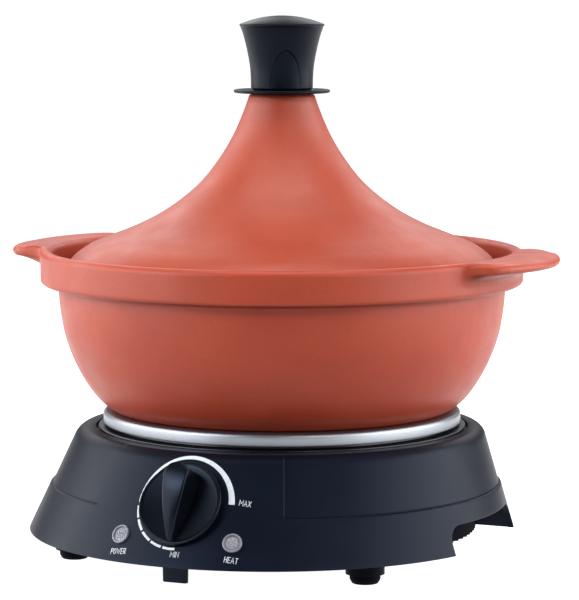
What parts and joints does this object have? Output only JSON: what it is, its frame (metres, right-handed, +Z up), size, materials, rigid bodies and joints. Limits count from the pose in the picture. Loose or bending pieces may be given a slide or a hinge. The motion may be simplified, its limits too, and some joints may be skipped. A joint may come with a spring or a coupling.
{
  "type": "electric tagine pot",
  "caption": "Electric tagine: conical terracotta lid with a black knob, eared ceramic pot on a hot plate, and a flared black heating base with a dial and lamps.",
  "frame": {"origin": "on the floor, under the middle of the object's bounding box", "axes": "+Z up; the dial faces -Y; the pot's two handles lie along +X and -X"},
  "size_m": [0.3392, 0.3036, 0.3165],
  "materials": {
    "lid_glaze": "satin terracotta glaze",
    "pot_glaze": "satin terracotta glaze",
    "knob_plastic": "fine matte black",
    "flange_plastic": "fine matte black",
    "base_plastic": "fine-grained black",
    "cover_plastic": "matte black",
    "dial_plastic": "semi-gloss black",
    "plate_metal": "brushed",
    "trim_metal": "brushed",
    "element_steel": "heat-darkened sheath",
    "shield_steel": "plain sheet",
    "fastener_steel": "zinc plated",
    "insert_brass": "machined",
    "seal_rubber": "silicone",
    "foot_rubber": "matte",
    "gland_rubber": "matte",
    "bezel_plastic": "clear grey gloss",
    "lens_clear": "prismatic clear",
    "neon_glass": "clear",
    "fuse_ceramic": "unglazed white",
    "block_plastic": "natural",
    "case_plastic": "brown moulding compound",
    "lead_sleeve": "woven silicone sleeve"
  },
  "bodies": {
    "base": {"base_housing": "base_plastic", "bottom_cover": "cover_plastic", "cord_gland": "gland_rubber", "cover_screw_1": "fastener_steel", "cover_screw_2": "fastener_steel", "cover_screw_3": "fastener_steel", "cover_screw_4": "fastener_steel", "foot_pad_front_left": "foot_rubber", "foot_pad_front_right": "foot_rubber", "foot_pad_rear_left": "foot_rubber", "foot_pad_rear_right": "foot_rubber", "heat_shield": "shield_steel", "heating_element": "element_steel", "hot_plate": "plate_metal", "lamp_bezel_left": "bezel_plastic", "lamp_bezel_right": "bezel_plastic", "lamp_lens_left": "lens_clear", "lamp_lens_right": "lens_clear", "lead_left": "lead_sleeve", "lead_right": "lead_sleeve", "neon_lamp_left": "neon_glass", "neon_lamp_right": "neon_glass", "plate_nut": "fastener_steel", "plate_stud": "fastener_steel", "plate_trim_ring": "trim_metal", "terminal_block": "block_plastic", "thermal_fuse": "fuse_ceramic", "thermostat_body": "case_plastic", "thermostat_bush": "insert_brass", "thermostat_nut": "fastener_steel"},
    "pot": {"pot": "pot_glaze"},
    "lid": {"lid": "lid_glaze", "lid_knob": "knob_plastic", "knob_flange": "flange_plastic", "knob_gasket": "seal_rubber", "knob_insert": "insert_brass", "knob_screw": "fastener_steel", "knob_washer": "fastener_steel"},
    "dial": {"dial": "dial_plastic", "dial_shaft": "fastener_steel"}
  },
  "joints": [
    {"name": "pot_lift", "type": "slide", "parent": "base", "child": "pot", "axis": [0, 0, 1], "range_m": [0, 0.12]},
    {"name": "lid_lift", "type": "slide", "parent": "pot", "child": "lid", "axis": [0, 0, 1], "range_m": [0, 0.18]},
    {"name": "dial_turn", "type": "hinge", "parent": "base", "child": "dial", "pos_m": [0, -0.13221, 0.0454], "axis": [0, 0.853, -0.5219], "range_deg": [0, 270]}
  ]
}
